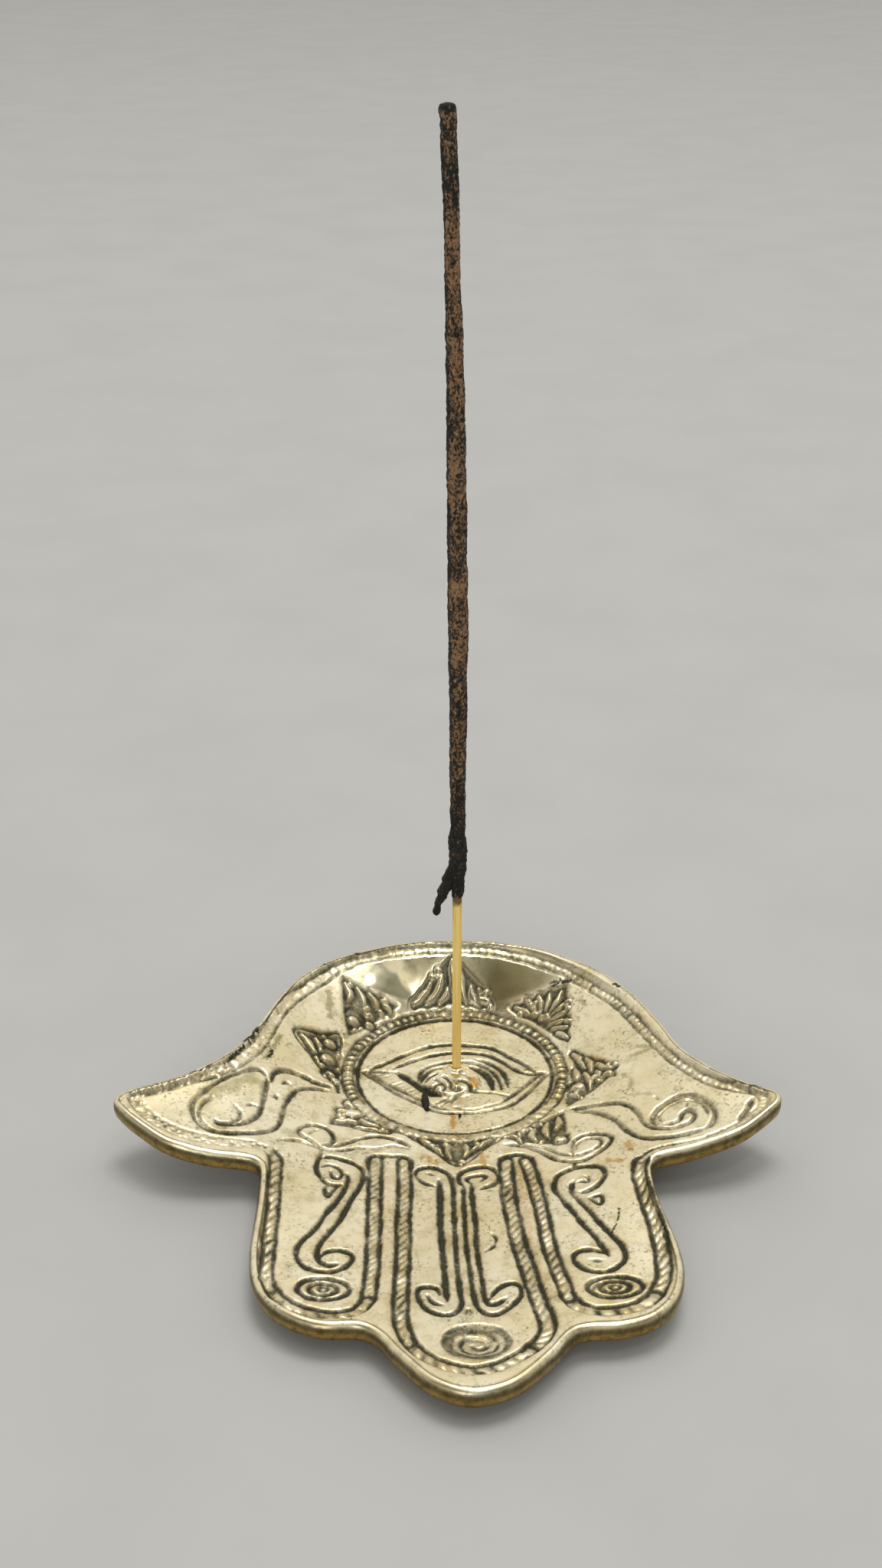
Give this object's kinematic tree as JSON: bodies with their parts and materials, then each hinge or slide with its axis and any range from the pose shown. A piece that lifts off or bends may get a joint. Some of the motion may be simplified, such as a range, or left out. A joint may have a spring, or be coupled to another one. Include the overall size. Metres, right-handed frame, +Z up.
{
  "type": "incense burner",
  "caption": "Shallow cast brass dish shaped as an open hand, with an eye in the palm and a blind socket in which an incense stick stands upright.",
  "frame": {"origin": "on the table, below the centre of the eye in the palm, on the ground pad's flat face", "axes": "+Z up along the stick, +Y towards the palm's back edge, fingers along -Y, +X to the right when the fingers point at the viewer"},
  "size_m": [0.141, 0.142, 0.2133],
  "materials": {
    "cast_brass": "polished cast brass with dark patina in the recesses",
    "bamboo": "bare split bamboo, satin",
    "incense": "rough matte paste of wood powder and resin"
  },
  "bodies": {
    "hand": {"hand_tray": "cast_brass"},
    "stick": {"bamboo_core": "bamboo", "incense_paste": "incense", "paste_strand": "incense"}
  },
  "joints": [
    {"name": "stick_lift", "type": "slide", "parent": "hand", "child": "stick", "axis": [0, 0, 1], "range_m": [0, 0.02]}
  ]
}
